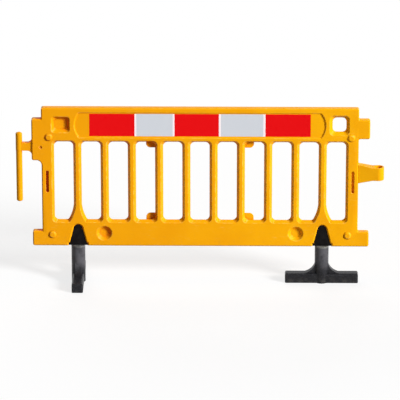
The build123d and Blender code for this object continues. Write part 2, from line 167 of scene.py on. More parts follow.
def calculate(tree, operation, first, second=0.0):
    """The result of a Math node on one or two values."""
    return add_node(tree, "ShaderNodeMath", {0: first, 1: second}, operation=operation).outputs[0]


def seen_directly(tree):
    """Socket that is 1 for what the camera sees, also by reflection or through glass, and 0 for light."""
    path = tree.nodes.new("ShaderNodeLightPath")
    seen = path.outputs["Is Camera Ray"]
    for ray in ("Is Glossy Ray", "Is Transmission Ray"):
        seen = calculate(tree, "MAXIMUM", seen, path.outputs[ray])
    return seen


def blend_shaders(tree, factor, first, second):
    """A shader that goes from the first node's to the second's as the factor goes from 0 to 1."""
    inputs = {"Fac": factor, 1: first.outputs[0], 2: second.outputs[0]}
    return add_node(tree, "ShaderNodeMixShader", inputs).outputs[0]


world = bpy.data.worlds.new("white_room")
bpy.context.scene.world = world
world.use_nodes = True
tree = world.node_tree
room_light = tree.nodes["Background"]
room_light.inputs["Color"].default_value = WHITE
room_light.inputs["Strength"].default_value = ROOM_LIGHT
room_view = add_node(tree, "ShaderNodeBackground", {"Color": WHITE})
room = blend_shaders(tree, seen_directly(tree), room_light, room_view)
tree.links.new(room, tree.nodes["World Output"].inputs["Surface"])
print("room light:", ROOM_LIGHT)

# %% [markdown]
# The floor is one large sheet, which belongs to the stage and not to the barrier. One face is enough for it,
# and bmesh, the mesh library for scripts, makes it in one call. It lies a hair below the soles, because two
# surfaces at the same height flicker into each other.

# %% Floor
import bmesh

FLOOR_HALF = 30.0
FLOOR_Z = -0.0005

floor_shape = bmesh.new()
bmesh.ops.create_grid(floor_shape, x_segments=1, y_segments=1, size=FLOOR_HALF)
floor_mesh = bpy.data.meshes.new("floor")
floor_shape.to_mesh(floor_mesh)
floor_shape.free()
floor = bpy.data.objects.new("floor", floor_mesh)
floor.location.z = FLOOR_Z
bpy.context.scene.collection.objects.link(floor)
print("floor is", 2 * FLOOR_HALF, "m wide")

# %% [markdown]
# Near the barrier a part of the floor's white is a matt surface, so that it takes the soft shadow of the
# barrier. Further away it turns into plain white, so that no horizon cuts the picture. A white floor would
# throw so much light back up that the hollows of the panel would lose their shade, so what the floor gives
# to the barrier is a middle grey.

# %% Floor paint
FLOOR_SEEN = (0.93, 0.93, 0.93, 1)
FLOOR_BOUNCE = (0.35, 0.35, 0.35, 1)
FADE_START = 1.3
FADE_END = 3.2
NEAR_WHITE = 0.74
COLOUR_A = 6
COLOUR_B = 7
MIXED_COLOUR = 2


def new_material(name):
    """A material, its node tree, its shader and the socket that gives the place on the piece."""
    material = bpy.data.materials.new(name)
    material.use_nodes = True
    tree = material.node_tree
    place = tree.nodes.new("ShaderNodeTexCoord").outputs["Object"]
    return material, tree, tree.nodes["Principled BSDF"], place


def times(tree, first, second):
    """The product of two values."""
    return calculate(tree, "MULTIPLY", first, second)


def on_vectors(tree, operation, first, second=(0, 0, 0)):
    """The result of a Vector Math node, a number for a length or a dot product."""
    node = add_node(tree, "ShaderNodeVectorMath", {0: first, 1: second}, operation=operation)
    return node.outputs["Value" if operation in ("LENGTH", "DOT_PRODUCT") else "Vector"]


def spread(tree, value, start, full, least=0.0, most=1.0, way="SMOOTHSTEP"):
    """From least, where the value is at start, to most, where it is at full, and no further."""
    inputs = {"Value": value, "From Min": start, "From Max": full, "To Min": least, "To Max": most}
    return add_node(tree, "ShaderNodeMapRange", inputs, interpolation_type=way).outputs["Result"]


def blend_colours(tree, factor, first, second, amount=1.0):
    """A colour that goes from first towards second with the factor, by no more than the amount."""
    if amount != 1.0:
        factor = times(tree, factor, amount)
    inputs = {"Factor": factor, COLOUR_A: first, COLOUR_B: second}
    return add_node(tree, "ShaderNodeMix", inputs, data_type="RGBA").outputs[MIXED_COLOUR]


floor_paint, tree, shader, place = new_material("floor_paint")
tree.nodes.remove(shader)
seen = seen_directly(tree)
matt = add_node(tree, "ShaderNodeBsdfDiffuse", {"Color": blend_colours(tree, seen, FLOOR_BOUNCE, FLOOR_SEEN)})
white = add_node(tree, "ShaderNodeEmission", {"Color": WHITE})
far = on_vectors(tree, "LENGTH", place)
fade = spread(tree, far, FADE_START, FADE_END, least=NEAR_WHITE, way="LINEAR")
paint = blend_shaders(tree, times(tree, fade, seen), matt, white)
tree.links.new(paint, tree.nodes["Material Output"].inputs["Surface"])
floor_mesh.materials.append(floor_paint)
print("floor is plain white from", FADE_END, "m")

# %% [markdown]
# A moulded piece has no sharp edge anywhere: the plastic can't fill one. The CAD model has crisp edges, so
# each moulded piece is copied and the copy's edges are rounded with the Bevel tool. The CAD mesh comes as
# triangles, and a bevel works best on whole faces that meet it square on. So the copy is welded and its flat
# triangles are merged. A face in Blender can't have a hole in it, so faces with holes are cut along straight
# planes through the middle of the holes. The hollow inside the panel is a closed surface of its own that
# nobody sees, and the copy leaves it out.

# %% Clean copies of CAD meshes
WELD = 1e-5
FLAT = radians(1.0)
AXIS = {"x": Vector((1, 0, 0)), "y": Vector((0, 1, 0)), "z": Vector((0, 0, 1))}


def keep_outside(shape):
    """Delete every closed surface but the one that holds the outermost vertex."""
    outside = {max(shape.verts, key=lambda vertex: vertex.co.x)}
    front = list(outside)
    while front:
        linked = {edge.other_vert(vertex) for vertex in front for edge in vertex.link_edges}
        front = list(linked - outside)
        outside |= linked
    inside = [vertex for vertex in shape.verts if vertex not in outside]
    bmesh.ops.delete(shape, geom=inside, context="VERTS")


def is_flat(edge):
    """True for an edge between two faces of one plane."""
    return len(edge.link_faces) == 2 and edge.calc_face_angle() < FLAT


def clean_copy(node, cuts, has_holes=lambda face: True):
    """The outer surface of a CAD piece in whole faces. Faces with holes are cut at each axis and place."""
    source = nodes[node].data
    shape = bmesh.new()
    corners = [shape.verts.new(vertex.co) for vertex in source.vertices]
    for face in source.polygons:
        shape.faces.new([corners[i] for i in face.vertices])
    bmesh.ops.remove_doubles(shape, verts=shape.verts, dist=WELD)
    keep_outside(shape)
    bmesh.ops.dissolve_limit(shape, angle_limit=FLAT, verts=shape.verts, edges=shape.edges)
    for axis, place in cuts:
        faces = [face for face in shape.faces if has_holes(face)]
        edges = list(dict.fromkeys(edge for face in faces for edge in face.edges))
        verts = list(dict.fromkeys(vertex for face in faces for vertex in face.verts))
        plane = {"plane_co": AXIS[axis] * place, "plane_no": AXIS[axis]}
        bmesh.ops.bisect_plane(shape, geom=verts + edges + faces, dist=WELD, **plane)

    def lies_on(edge, axis, place):
        return all(abs(vertex.co.dot(AXIS[axis]) - place) < WELD for vertex in edge.verts)

    def is_spare(edge):
        return is_flat(edge) and not any(lies_on(edge, axis, place) for axis, place in cuts)

    spare = [edge for edge in shape.edges if is_spare(edge)]
    bmesh.ops.dissolve_edges(shape, edges=spare, use_verts=True)
    bmesh.ops.recalc_face_normals(shape, faces=shape.faces)
    print(node, "in whole faces:", len(shape.faces))
    return shape


# %% [markdown]
# One bevel width doesn't suit every edge: the corner of a slot can take a generous round, but a shallow
# step would vanish under it. So the sharp edges are sorted into runs that hang together, and each run will
# get the widest round that its narrowest place has room for. The room beside an edge is how far it could
# slide along its neighbours.

# %% Runs of sharp edges
SHARP = radians(20)


def is_sharp(edge):
    """True for an edge that the eye sees as a corner."""
    return len(edge.link_faces) == 2 and edge.calc_face_angle() > SHARP


def runs_of(edges):
    """Sort edges into runs that hang together."""
    left = dict.fromkeys(edges)
    runs = []
    while left:
        run = [left.popitem()[0]]
        for edge in run:
            linked = [other for vertex in edge.verts for other in vertex.link_edges if other in left]
            for other in dict.fromkeys(linked):
                del left[other]
                run.append(other)
        runs.append(run)
    return runs


def room_beside(edge, run):
    """The shortest way that a rounded edge could slide along its neighbours, outside its own run."""
    start = edge.verts[0].co
    along = (edge.verts[1].co - start).normalized()
    reach = [
        max((vertex.co - start).cross(along).length for vertex in face.verts) for face in edge.link_faces
    ]
    for vertex in edge.verts:
        for other in vertex.link_edges:
            if other not in run and not is_flat(other):
                reach.append((other.other_vert(vertex).co - vertex.co).cross(along).length)
    return min(reach)


# %% [markdown]
# The corners that run through the piece are rounded first and the rims after them, so that each rim then
# follows the round corners. Edges that another piece covers stay as they are. The rounded strips are marked
# as they are made, because later the plastic looks a little more worn on the outer rounds and gets grime and
# painted shade in the inner ones.

# %% Rounded edges
ROUNDS = (0.007, 0.006, 0.004, 0.003, 0.002, 0.001)
SHARE_OF_FACE = 0.47
THROUGH = 0.005
ROUND_STEPS = 3
CIRCULAR = 0.5


def in_box(place, box):
    """True for a place inside a box, which is given by its lowest and highest corners."""
    return all(low < here < high for here, low, high in zip(place, *box))


def round_edges(shape, through, corner, rim, hidden, at_least=THROUGH):
    """Round the sharp edges outside the hidden boxes, through corners first, and mark the strips."""
    strip = shape.faces.layers.int.new("strip")

    def is_hidden(edge):
        return any(all(in_box(vertex.co, box) for vertex in edge.verts) for box in hidden)

    def goes_through(edge):
        return abs((edge.verts[1].co - edge.verts[0].co).dot(AXIS[through])) > at_least

    bevel = {"segments": ROUND_STEPS, "profile": CIRCULAR, "affect": "EDGES", "loop_slide": True}
    for is_corner, widest in ((True, corner), (False, rim)):
        edges = [edge for edge in shape.edges if is_sharp(edge) and goes_through(edge) == is_corner]
        plan = {width: [] for width in ROUNDS}
        for run in runs_of([edge for edge in edges if not is_hidden(edge)]):
            room = SHARE_OF_FACE * min(room_beside(edge, set(run)) for edge in run)
            width = max((r for r in ROUNDS if r <= min(room, widest)), default=None)
            if width:
                plan[width].extend(run)
        for width, run in plan.items():
            made = bmesh.ops.bevel(shape, geom=run, offset=width, **bevel)
            for face in made["faces"]:
                face[strip] = 1
    return strip


# %% [markdown]
# The marks become a number on each vertex, which a material can read by its name: 1 on the crest of an
# outer round, where things rub, -1 in an inner one, where grime and painted shade go, and 0 elsewhere. The
# copy then becomes an object that stands for the CAD piece and rides on the same body. Smooth shading with
# weighted normals keeps the large faces flat and lets only the rounds curve.

# %% New pieces from copies
CREASE = radians(40)
pieces = {}


def mark_wear_and_shade(shape, strip):
    """Write 1 on a round's crest, for wear, -1 in an inner round, for grime and painted shade, else 0."""
    wear_and_shade = shape.verts.layers.float.new("wear_and_shade")
    for vertex in shape.verts:
        if all(face[strip] for face in vertex.link_faces):
            bend = sum(edge.calc_face_angle_signed() for edge in vertex.link_edges)
            vertex[wear_and_shade] = 1.0 if bend > 0 else -1.0


def new_piece(name, node, shape):
    """Turn a finished shape into an object that stands for its CAD piece."""
    for face in shape.faces:
        face.smooth = True
    for edge in shape.edges:
        edge.smooth = len(edge.link_faces) == 2 and edge.calc_face_angle() < CREASE
    mesh = bpy.data.meshes.new(name)
    shape.to_mesh(mesh)
    shape.free()
    piece = bpy.data.objects.new(name, mesh)
    bpy.context.scene.collection.objects.link(piece)
    normals = piece.modifiers.new("flat_faces_stay_flat", "WEIGHTED_NORMAL")
    normals.keep_sharp = True
    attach(piece, nodes[node]["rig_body"])
    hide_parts(node)
    pieces[node] = piece
    print(name, "faces:", len(mesh.polygons))


# %% [markdown]
# The panel is the main moulding. On the real one two halves of a mould close round a tube of hot plastic,
# so every slot and pocket flares from the middle plane to both faces and has full round edges. Its faces
# are cut into simpler ones through the slots, the dishes in the bottom rail, the seats over the feet, the
# studs, the dowel and the slits.

# %% Cuts through the panel
SLOT_PITCH = 0.148
SLOTS_EACH_SIDE = 5
DISH_X = 0.522
FOOT_X = 0.666
STUD_X = 0.8165
DOWEL_X = -0.864
SLIT_Z = 0.581
FACE_Y = 0.0225

panel_cuts = [("x", i * SLOT_PITCH) for i in range(-SLOTS_EACH_SIDE, SLOTS_EACH_SIDE + 1)]
panel_cuts += [("x", side * place) for side in (-1, 1) for place in (DISH_X, FOOT_X, STUD_X)]
panel_cuts += [("x", DOWEL_X), ("z", SLIT_Z)]


def in_a_face(face):
    """True for the flat front and back of the panel, which the slots and studs interrupt."""
    return all(abs(abs(vertex.co.y) - FACE_Y) < WELD for vertex in face.verts)


print("cuts through the panel:", len(panel_cuts))

# %% [markdown]
# Four small tabs sit in the corners of two slots, where a sign can be hooked in. In the photograph they lie
# so far back that the bars beside them keep the light off. So their front faces are moved back here. A vertex
# that touches a wall of the slot has to slide along that wall, which flares by 30 degrees towards the back:
# the bar beside the tab, or the end of the slot above or below it.

# %% Sign tabs
from math import tan

TAB_FRONT = 0.002
TAB_SET_BACK = 0.0085
SLOT_FLARE = tan(radians(30))
TAB_AT_BAR = 0.260
TAB_AT_TOP = 0.789
TAB_AT_BOTTOM = 0.372


def set_back_tabs(shape):
    """Move the fronts of the sign tabs back between the flaring walls of their slots."""
    slide = SLOT_FLARE * (TAB_SET_BACK - TAB_FRONT)
    fronts = [face for face in shape.faces if all(abs(v.co.y - TAB_FRONT) < WELD for v in face.verts)]
    for vertex in {vertex for face in fronts for vertex in face.verts}:
        vertex.co.y = TAB_SET_BACK
        if abs(vertex.co.x) < TAB_AT_BAR:
            vertex.co.x += slide if vertex.co.x < 0 else -slide
        if vertex.co.z > TAB_AT_TOP:
            vertex.co.z += slide
        if vertex.co.z < TAB_AT_BOTTOM:
            vertex.co.z -= slide
    print("tabs set back:", len(fronts))


# %% [markdown]
# Now the panel can be made. What the sockets, the tenons of the link pieces and the dowel cover stays as it
# is in the CAD model, so that they still fit. The rest gets wide corners and narrower rims.

# %% Panel
SEAT = 0.0005
MORTISE_HALF = 0.0095
PIN_MORTISE = ((-0.92, -MORTISE_HALF, 0.70), (-0.83, MORTISE_HALF, 0.85))
EYE_MORTISE = ((0.83, -MORTISE_HALF, 0.55), (0.87, MORTISE_HALF, 0.70))


def seat_of(node):
    """The box of a CAD piece, grown by its gap, within which the panel's edges are covered."""
    low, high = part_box(node)
    return [c - SEAT for c in low], [c + SEAT for c in high]


covered = [seat_of(node) for node in ("foot_socket_left", "foot_socket_right", "link_dowel")]
covered += [PIN_MORTISE, EYE_MORTISE]
shape = clean_copy("panel", panel_cuts, in_a_face)
set_back_tabs(shape)
mark_wear_and_shade(shape, round_edges(shape, "y", corner=0.007, rim=0.003, hidden=covered))
new_piece("panel_moulded", "panel", shape)

# %% [markdown]
# The link pin is a solid moulding. Its rod has domed ends, so that it finds its way into the eye of the next
# barrier. Each dome is drawn out of the rod's last ring, one narrower ring after another. The bevel leaves
# the rod alone, and the tenon inside the panel as well.

# %% Link pin with domed ends
from math import cos, sin, pi

PIN_X = -0.982
ROD_SIDE = -0.9625
LUG_SIDE = -0.9135
DOME_DEPTH = 0.010
DOME_STEPS = 6
BEYOND = 2.0


def between(axis, low, high):
    """A box between two places on one axis, and beyond the barrier on the other two."""
    corners = [-BEYOND] * 3, [BEYOND] * 3
    for corner, place in zip(corners, (low, high)):
        corner["xyz".index(axis)] = place
    return corners


def dome(shape, tip, inwards):
    """Replace the flat end of the upright rod by a dome that reaches the same height."""
    flat_end = [v for v in shape.verts if abs(v.co.z - tip) < WELD]
    bmesh.ops.delete(shape, geom=flat_end, context="VERTS")
    rim = [edge for edge in shape.edges if edge.is_boundary]
    for vertex in {vertex for edge in rim for vertex in edge.verts}:
        vertex.co.z = tip + inwards * DOME_DEPTH
    for step in range(1, DOME_STEPS + 1):
        turn = pi / 2 * step / DOME_STEPS
        shrink = cos(turn) / cos(turn - pi / 2 / DOME_STEPS)
        made = bmesh.ops.extrude_edge_only(shape, edges=rim)["geom"]
        rim = [part for part in made if isinstance(part, bmesh.types.BMEdge)]
        for vertex in (part for part in made if isinstance(part, bmesh.types.BMVert)):
            vertex.co.x = PIN_X + (vertex.co.x - PIN_X) * shrink
            vertex.co.y *= shrink
            vertex.co.z = tip + inwards * DOME_DEPTH * (1 - sin(turn))
    bmesh.ops.remove_doubles(shape, verts=shape.verts, dist=WELD)


pin_low, pin_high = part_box("link_pin")
rod_and_tenon = [between("x", -BEYOND, ROD_SIDE), between("x", LUG_SIDE, 0.0)]
shape = clean_copy("link_pin", [("y", 0.0), ("x", PIN_X)])
strip = round_edges(shape, "y", corner=0.004, rim=0.003, hidden=rod_and_tenon)
dome(shape, pin_low[2], 1)
dome(shape, pin_high[2], -1)
bmesh.ops.recalc_face_normals(shape, faces=shape.faces)
mark_wear_and_shade(shape, strip)
new_piece("link_pin_moulded", "link_pin", shape)

# %% [markdown]
# The link eye is a thick tongue with an upright bore. On the real one the tongue thickens evenly until it
# meets the round of the eye, with no groove between them. The CAD tongue is even in thickness, so this piece
# is drawn anew, inside the same box. Seen from above its outline is a circle, then the two lines from the
# tongue's root that just touch that circle, as far as the neck. A radius for each angle about the bore says
# all that.

# %% Outline of the link eye
from math import asin, atan, atan2, hypot

MM = 1000
EYE_X = 0.969
EYE_ROUND = 0.03097
EYE_HALF_STEPS = 36
TONGUE_ROOT = 0.860
TONGUE_HALF = 0.019

reach = EYE_X - TONGUE_ROOT
slope = tan(asin(EYE_ROUND / hypot(reach, TONGUE_HALF)) - atan2(TONGUE_HALF, reach))
touch_angle = pi / 2 + atan(slope)
neck_half = TONGUE_HALF + slope * (reach - EYE_ROUND)
neck_angle = atan2(neck_half, -EYE_ROUND)
steps = [pi * i / EYE_HALF_STEPS for i in range(-EYE_HALF_STEPS, 2 * EYE_HALF_STEPS)]
front_angles = [-neck_angle] + [angle for angle in steps if abs(angle) < neck_angle] + [neck_angle]
back_angles = [angle for angle in steps if neck_angle < angle < 2 * pi - neck_angle]


def eye_radius(angle):
    """Distance of the outline from the middle of the bore: round, then along the touching lines."""
    return EYE_ROUND / cos(max(abs(angle) - touch_angle, 0))


print("tongue thickens from", 2 * MM * TONGUE_HALF, "to", round(2 * MM * neck_half, 1), "mm")

# %% [markdown]
# The bore is a second ring with the same angles, so that four-cornered faces lie between it and the outline.
# Only behind the bore one face with many corners reaches to the neck, which has to stay one long edge: the
# bevel takes no more than the shortest edge beside it has room for. At the root the tongue steps in to the
# tenon that sits in the panel.

# %% Link eye
EYE_BORE = 0.021
EYE_HALF_HEIGHT = 0.0365
TENON_HALF = 0.009
TENON_HALF_HEIGHT = 0.030


def joined(shape, first, second):
    """A band of faces between two closed rings of vertices."""
    for i in range(len(first)):
        shape.faces.new((first[i - 1], first[i], second[i], second[i - 1]))


def link_eye_shape():
    """Eye, tongue and tenon as one closed mesh."""
    low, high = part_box("link_eye")
    middle = (low[2] + high[2]) / 2
    shape = bmesh.new()

    def eye_ring(spots, height):
        return [shape.verts.new((EYE_X + r * cos(a), r * sin(a), height)) for r, a in spots]

    def rectangle(x, half_width, half_height):
        signs = ((-1, -1), (1, -1), (1, 1), (-1, 1))
        return [shape.verts.new((x, y * half_width, middle + z * half_height)) for y, z in signs]

    heights = (middle + EYE_HALF_HEIGHT, middle - EYE_HALF_HEIGHT)
    outside = [(eye_radius(angle), angle) for angle in front_angles]
    bore_circle = [(EYE_BORE, angle) for angle in front_angles + back_angles]
    outer = [eye_ring(outside, height) for height in heights]
    bore = [eye_ring(bore_circle, height) for height in heights]
    root = rectangle(TONGUE_ROOT, TONGUE_HALF, (high[2] - low[2]) / 2)
    last = len(front_angles) - 1
    joined(shape, bore[0], bore[1])
    for rim, hole, root_edge in ((outer[0], bore[0], root[3:1:-1]), (outer[1], bore[1], root[:2])):
        for i in range(last):
            shape.faces.new((rim[i], rim[i + 1], hole[i + 1], hole[i]))
        shape.faces.new([rim[last], rim[0], hole[0]] + hole[:last - 1:-1])
        shape.faces.new([rim[last], rim[0]] + root_edge)
    for i in range(last):
        shape.faces.new((outer[0][i], outer[0][i + 1], outer[1][i + 1], outer[1][i]))
    shape.faces.new((root[1], root[2], outer[0][last], outer[1][last]))
    shape.faces.new((root[0], root[3], outer[0][0], outer[1][0]))
    tenon = [rectangle(x, TENON_HALF, TENON_HALF_HEIGHT) for x in (TONGUE_ROOT, low[0])]
    joined(shape, root, tenon[0])
    joined(shape, tenon[0], tenon[1])
    shape.faces.new(tenon[1])
    bmesh.ops.recalc_face_normals(shape, faces=shape.faces)
    return shape


in_the_panel = [between("x", 0.0, TONGUE_ROOT + SEAT)]
shape = link_eye_shape()
strip = round_edges(shape, "y", corner=0.004, rim=0.003, hidden=in_the_panel, at_least=TONGUE_HALF)
mark_wear_and_shade(shape, strip)
new_piece("link_eye_moulded", "link_eye", shape)

# %% [markdown]
# The dowel is a plain plug through the end post. It holds the arm of the link pin and shows as a dot. A cut
# down its middle gives the bevel whole faces, and its rims are rounded just enough to catch the light.

# %% Link dowel
shape = clean_copy("link_dowel", [("x", DOWEL_X)])
mark_wear_and_shade(shape, round_edges(shape, "x", corner=0.001, rim=0.001, hidden=[]))
new_piece("link_dowel_moulded", "link_dowel", shape)

# %% [markdown]
# The sockets are flat black wedges that snap into the bottom rail. The groove round their edge, which grips
# a ridge of the panel, stays as it is. The feet are heavy cast rubber, with the widest rounds of all.

# %% Sockets and feet
GROOVE_HALF = 0.0057

in_the_groove = [between("y", -GROOVE_HALF, GROOVE_HALF)]
for side, place in (("left", -FOOT_X), ("right", FOOT_X)):
    middle = [("x", place), ("y", 0.0)]
    shape = clean_copy("foot_socket_" + side, middle)
    mark_wear_and_shade(shape, round_edges(shape, "y", corner=0.002, rim=0.001, hidden=in_the_groove))
    new_piece("foot_socket_moulded_" + side, "foot_socket_" + side, shape)
    shape = clean_copy("foot_" + side, middle)
    mark_wear_and_shade(shape, round_edges(shape, "z", corner=0.007, rim=0.004, hidden=[]))
    new_piece("foot_cast_" + side, "foot_" + side, shape)

# %% [markdown]
# Each foot turns on a steel sleeve that a bolt clamps under its socket, with a washer below and a nut above.
# In the CAD model their threads are plain cylinders. Such parts are turned on a lathe, and so are these:
# one ring of vertices for each change of radius, each ring joined to the next. A hexagon is a ring whose
# radius changes with the angle, and where a cone cuts its corners off the ring goes up and down as well.

# %% A lathe
RING_SIDES = 36
SIXTH = pi / 3
CONE_SLOPE = tan(radians(30))


def circle(radius, height):
    """A plain ring, as a function from angle to radius and height."""
    return lambda angle: (radius, height)


def hexagon(half_flats, face, inwards, cone):
    """A ring on the sides of a hexagon, cut by a cone that leaves a circle of radius cone on the face."""

    def ring(angle):
        radius = half_flats / cos((angle + SIXTH / 2) % SIXTH - SIXTH / 2)
        return radius, face + inwards * (radius - cone) * CONE_SLOPE

    return ring


def stacked(shape, rows, is_tube=False):
    """Join each ring of vertices to the next. A tube's last ring joins its first, other ends are closed."""
    if is_tube:
        rows = rows + [rows[0]]
    else:
        shape.faces.new(rows[0])
        shape.faces.new(rows[-1])
    for first, second in zip(rows, rows[1:]):
        joined(shape, first, second)
    bmesh.ops.recalc_face_normals(shape, faces=shape.faces)


def turned(name, node, rings, is_tube):
    """A piece from rings about the node's upright axis."""
    low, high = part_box(node)
    axis_x, axis_y = (low[0] + high[0]) / 2, (low[1] + high[1]) / 2
    angles = [2 * pi * i / RING_SIDES for i in range(RING_SIDES)]
    shape = bmesh.new()
    rows = []
    for ring in rings:
        points = [(angle, *ring(angle)) for angle in angles]
        rows.append([shape.verts.new((axis_x + r * cos(a), axis_y + r * sin(a), z)) for a, r, z in points])
    stacked(shape, rows, is_tube)
    new_piece(name, node, shape)


# %% [markdown]
# A thread is a ridge that climbs one pitch with each turn. So the radius at a place follows from its height
# and its angle alone, and the nut can use the same formula with a small gap added: its thread then runs in
# the grooves of the bolt's.

# %% Thread
BOLT_RADIUS = 0.006
PITCH = 0.00175
THREAD_DEPTH = 0.00095
THREAD_LENGTH = 0.040
RINGS_PER_PITCH = 8
CREST = 0.125
ROOT = 0.75


def thread_radius(angle, height, start):
    """Radius of the bolt's thread, which starts at a height and reaches its full depth one pitch above it."""
    phase = (height / PITCH - angle / (2 * pi)) % 1
    share = (abs(2 * phase - 1) - CREST) / (ROOT - CREST)
    full = (height - start) / PITCH
    return BOLT_RADIUS - THREAD_DEPTH * min(max(share, 0), 1) * min(max(full, 0), 1)


def thread_heights(low, high):
    """Heights of the rings between two ends of a thread."""
    count = round((high - low) / PITCH * RINGS_PER_PITCH)
    return [low + (high - low) * i / count for i in range(count + 1)]


print("turns of thread on each bolt:", round(THREAD_LENGTH / PITCH, 1))

# %% [markdown]
# The bolt comes up from the sole and the nut is held in the socket. Both are hexagons with their corners cut
# back by a cone, as a spanner needs. A bolt is a stack of rings from its head to its tip. A nut is a tube:
# its rings go up the outside and come back down through the thread.

# %% Bolts and nuts
STEEL_BEVEL = 0.0005
CONE_SHARE = 0.95
THREAD_GAP = 0.0001


def upright_sizes(node):
    """Bottom and top of an upright piece and half its width, which for a hexagon is across the flats."""
    low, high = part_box(node)
    return low[2], high[2], (high[0] - low[0]) / 2


def bolt(side):
    """Hexagon head with a raised face under it, plain shank, thread and bevelled tip."""
    node = "pivot_bolt_" + side
    bottom, top, half_flats = upright_sizes(node)
    cone = CONE_SHARE * half_flats
    under = upright_sizes("pivot_washer_" + side)[0]
    start = top - THREAD_LENGTH

    def thread_ring(height):
        tip = BOLT_RADIUS - THREAD_DEPTH + top - height
        return lambda angle: (min(thread_radius(angle, height, start), tip), height)

    head = [circle(cone, bottom), hexagon(half_flats, bottom, 1, cone)]
    head += [hexagon(half_flats, under - STEEL_BEVEL, 0, cone), circle(cone, under - STEEL_BEVEL)]
    shank = [circle(cone, under), circle(BOLT_RADIUS, under)]
    thread = [thread_ring(height) for height in thread_heights(start, top)]
    turned("pivot_bolt_threaded_" + side, node, head + shank + thread, False)


def nut(side):
    """Hexagon nut with both faces bevelled and a thread that fits the bolt's."""
    node = "pivot_nut_" + side
    bottom, top, half_flats = upright_sizes(node)
    cone = CONE_SHARE * half_flats
    start = upright_sizes("pivot_bolt_" + side)[1] - THREAD_LENGTH

    def thread_ring(height):
        return lambda angle: (thread_radius(angle, height, start) + THREAD_GAP, height)

    outside = [circle(cone, bottom), hexagon(half_flats, bottom, 1, cone)]
    outside += [hexagon(half_flats, top, -1, cone), circle(cone, top)]
    heights = thread_heights(bottom + STEEL_BEVEL, top - STEEL_BEVEL)
    thread = [thread_ring(height) for height in reversed(heights)]
    mouth = BOLT_RADIUS + STEEL_BEVEL
    rings = outside + [circle(mouth, top)] + thread + [circle(mouth, bottom)]
    turned("pivot_nut_threaded_" + side, node, rings, True)


print("bolt heads are", round(2 * MM * upright_sizes("pivot_bolt_left")[2], 1), "mm across their flats")

# %% [markdown]
# The washer spreads the load of the head, and the sleeve lets the bolt be tight while the foot still turns.
# Both are plain tubes with a bevel on every edge.

# %% Washers and sleeves
HARDWARE_BORE = 0.0063


def ring_of_steel(name, node):
    """A tube or washer with bevelled edges inside and out."""
    bottom, top, outer = upright_sizes(node)
    inner = HARDWARE_BORE
    bevel = STEEL_BEVEL
    profile = [(outer - bevel, bottom), (outer, bottom + bevel), (outer, top - bevel), (outer - bevel, top)]
    profile += [(inner + bevel, top), (inner, top - bevel), (inner, bottom + bevel), (inner + bevel, bottom)]
    turned(name, node, [circle(radius, height) for radius, height in profile], True)


for side in ("left", "right"):
    bolt(side)
    nut(side)
    ring_of_steel("pivot_washer_turned_" + side, "pivot_washer_" + side)
    ring_of_steel("pivot_sleeve_turned_" + side, "pivot_sleeve_" + side)

# %% [markdown]
# The sheeting is stiff film with a glue back. Its corners are clipped round, so that nothing catches and
# peels them, and the cutting knife draws its front edge down a little. Each piece is an outline of short
# steps round the corners, repeated as a ring at the back, at the drawn-down edge and on the front.

# %% Pieces of sheeting
FILM_CORNER = 0.0025
FILM_CORNER_STEPS = 5
FILM_EDGE = 0.0002


def film_outline(low, high, inset):
    """Places round an upright rectangle with rounded corners, a little inside the box of the film."""
    left, right = low[0] + FILM_CORNER, high[0] - FILM_CORNER
    bottom, top = low[2] + FILM_CORNER, high[2] - FILM_CORNER
    reach = FILM_CORNER - inset
    places = []
    for corner, (x, z) in enumerate(((right, top), (left, top), (left, bottom), (right, bottom))):
        for step in range(FILM_CORNER_STEPS + 1):
            turn = pi / 2 * (corner + step / FILM_CORNER_STEPS)
            places.append((x + reach * cos(turn), z + reach * sin(turn)))
    return places


def film_piece(node):
    """A thin slab with rounded corners and a softened front edge."""
    low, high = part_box(node)
    rings = ((high[1], 0.0), (low[1] + FILM_EDGE, 0.0), (low[1], FILM_EDGE))
    shape = bmesh.new()
    rows = [[shape.verts.new((x, y, z)) for x, z in film_outline(low, high, inset)] for y, inset in rings]
    stacked(shape, rows)
    new_piece(node.replace("sheet", "film"), node, shape)


for node in nodes:
    if node.startswith("sheet_"):
        film_piece(node)

# %% [markdown]
# Now the surfaces. No picture files are used: each material is built from nodes that work out colour,
# roughness and bump from the place on the piece. Most of them start from noise, cut off so that it leaves
# patches. The place is the piece's own coordinate in metres, so a noise of scale 100 has features about a
# centimetre across.

# %% Patches of noise
def axis_of(tree, place, axis):
    """One coordinate of the place."""
    return add_node(tree, "ShaderNodeSeparateXYZ", {"Vector": place}).outputs[axis.upper()]


def noise(tree, place, scale, detail, stretch=(1, 1, 1)):
    """Cloudy noise from 0 to 1, about 0.5 on average, squeezed along the axes by stretch."""
    if stretch != (1, 1, 1):
        place = add_node(tree, "ShaderNodeMapping", {"Vector": place, "Scale": stretch}).outputs["Vector"]
    inputs = {"Vector": place, "Scale": scale, "Detail": detail}
    return add_node(tree, "ShaderNodeTexNoise", inputs).outputs["Fac"]


def patches(tree, place, scale, detail, start, full, least=0.0, most=1.0, stretch=(1, 1, 1)):
    """Patches of noise: least where it is under start, most where it is over full."""
    return spread(tree, noise(tree, place, scale, detail, stretch), start, full, least, most)


# %% [markdown]
# The panel and the link pieces are polyethylene, coloured right through. The colour drifts a little where
# the hot plastic flowed, and the end with the eye is a shade paler than the other. One slow ramp along the
# barrier and one large noise give that.

# %% Yellow plastic: colour
PIN_END = -1.0
EYE_END = 1.0
PIN_END_YELLOW = (0.85, 0.345, 0.002, 1)
EYE_END_YELLOW = (0.93, 0.43, 0.002, 1)
DEEP_YELLOW = (0.82, 0.32, 0.002, 1)

